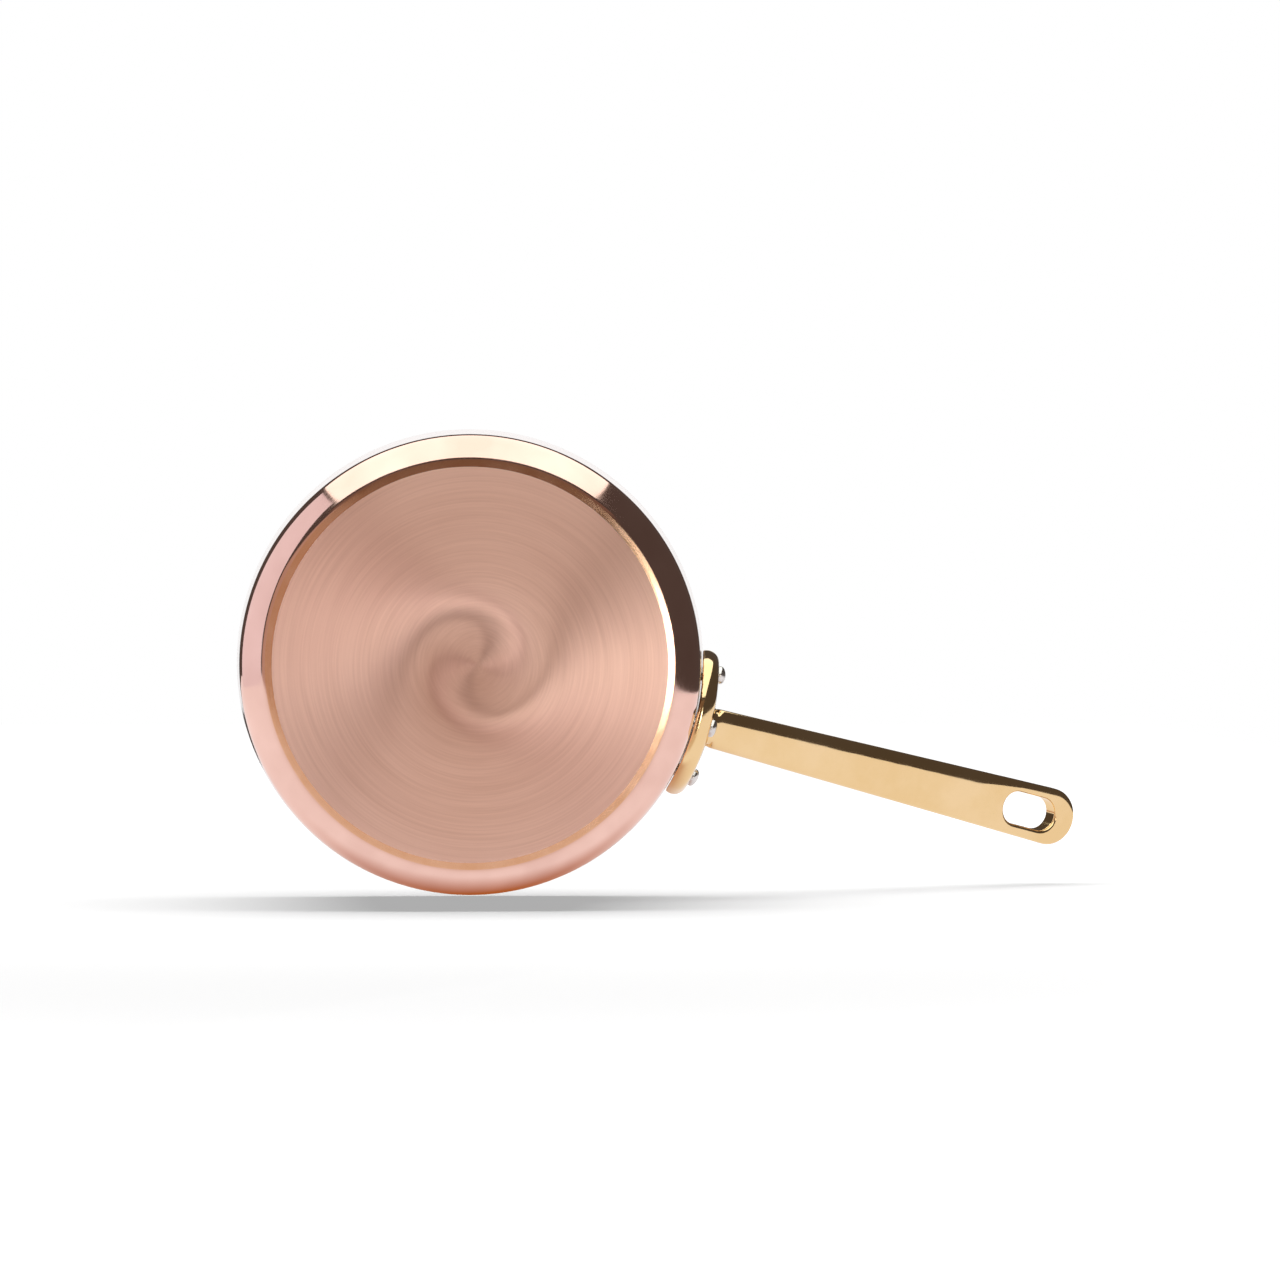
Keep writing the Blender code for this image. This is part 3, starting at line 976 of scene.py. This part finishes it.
def make_floor_sheen():
    """A glowing floor that only reflections see: a painted reflection. Its brightness, painted shade
    included, is stored at the points of a grid.
    """
    rights = spread_steps(*SHEEN_RIGHT)
    forwards = spread_steps(*SHEEN_TOWARDS)
    right, towards = np.meshgrid(rights, forwards, indexing="ij")
    points = [spot(a, FLOOR_UP, b) for a, b in zip(right.ravel(), towards.ravel())]
    faces = []
    for i in range(SHEEN_STEPS - 1):
        for j in range(SHEEN_STEPS - 1):
            first = i * SHEEN_STEPS + j
            faces.append((first, first + 1, first + SHEEN_STEPS + 1, first + SHEEN_STEPS))
    material = glow("floor_sheen", (1, 1, 1), 1.0)
    tree = material.node_tree
    colour = add_node(tree, "ShaderNodeVertexColor", layer_name="brightness").outputs[0]
    light = [item for item in tree.nodes if item.type == "EMISSION"][0]
    tree.links.new(colour, light.inputs["Color"])
    floor = make_object("floor_sheen", points, faces, (material,))
    store = floor.data.color_attributes.new("brightness", "FLOAT_COLOR", "POINT")
    rgb = floor_brightness(right, towards).reshape(-1, 3)
    store.data.foreach_set("color", np.column_stack((rgb, np.ones(len(rgb)))).ravel())
    floor.visible_camera = False
    floor.visible_diffuse = False
    floor.visible_shadow = False


# The overhead light lights the floor and stays out of reflections: its place, aim, size in
# metres and power in watts.
OVERHEAD_PLACE = (-0.28, 0.70, -0.05)
OVERHEAD_AIM = (-0.28, -0.08, -0.05)
OVERHEAD_SIZE = (0.50, 1.90)
OVERHEAD_POWER = 20.0


def make_overhead_light():
    light = bpy.data.lights.new("overhead_light", "AREA")
    light.shape = "RECTANGLE"
    light.size, light.size_y = OVERHEAD_SIZE
    light.energy = OVERHEAD_POWER
    holder = bpy.data.objects.new("overhead_light", light)
    bpy.context.collection.objects.link(holder)
    back = (spot(*OVERHEAD_PLACE) - spot(*OVERHEAD_AIM)).normalized()
    side = UP.cross(back).normalized()
    turn = Matrix((side, back.cross(side), back)).transposed()
    holder.matrix_world = Matrix.Translation(spot(*OVERHEAD_PLACE)) @ turn.to_4x4()
    holder.visible_camera = False
    holder.visible_glossy = False


def make_studio():
    for name, corners, colour, strength in PANELS:
        panel = make_panel(name, corners, glow(name, colour, strength))
        panel.visible_camera = False
        panel.visible_diffuse = name in FLOOR_LIGHTS
    make_overhead_light()
    floor = make_panel("floor", FLOOR_CORNERS, floor_material())
    floor.visible_glossy = False
    make_floor_sheen()


ROOM_COLOUR = (1.0, 0.80, 0.70, 1.0)
ROOM_STRENGTH = 0.082
WHITE = (1.0, 1.0, 1.0, 1.0)


def make_world():
    """Dim warm surroundings for reflections, and plain white behind everything."""
    world = bpy.data.worlds.new("studio")
    bpy.context.scene.world = world
    world.use_nodes = True
    tree = world.node_tree
    tree.nodes.clear()
    room = {"Color": ROOM_COLOUR, "Strength": ROOM_STRENGTH}
    dim = add_node(tree, "ShaderNodeBackground", room)
    white = add_node(tree, "ShaderNodeBackground", {"Color": WHITE, "Strength": 1.0})
    seen = add_node(tree, "ShaderNodeLightPath").outputs["Is Camera Ray"]
    mixed = add_node(tree, "ShaderNodeMixShader", {0: seen, 1: dim.outputs[0], 2: white.outputs[0]})
    out = add_node(tree, "ShaderNodeOutputWorld")
    tree.links.new(mixed.outputs[0], out.inputs[0])


def make_camera():
    """Aim the camera from the pan's place and directions as the camera sees them."""
    turn_right, turn_up = (math.tan(angle) for angle in AXIS_TURN)
    axis = Vector((turn_right, turn_up, -1.0)).normalized()
    handle = (RIGHT - axis * RIGHT.dot(axis)).normalized()
    side = axis.cross(handle)
    turn = Matrix((handle, side, axis))
    base = Vector((*BASE_OFFSET, -CAMERA_DISTANCE))
    camera = bpy.data.cameras.new("camera")
    camera.lens = LENS
    camera.sensor_width = SENSOR
    camera.clip_start = CLIP_START
    holder = bpy.data.objects.new("camera", camera)
    bpy.context.collection.objects.link(holder)
    holder.matrix_world = Matrix.Translation(-(turn @ base)) @ turn.to_4x4()
    bpy.context.scene.camera = holder


make_shell(brushed_copper(), edge_copper(), polished_copper())
make_lining(lining_steel())
make_handle(polished_brass())
steel = rivet_steel()
for rivet_name, rivet_degrees, rivet_height in RIVETS:
    make_rivet(rivet_name, rivet_degrees, rivet_height, steel)
make_studio()
make_world()
make_camera()
bpy.context.scene.view_settings.view_transform = "Standard"
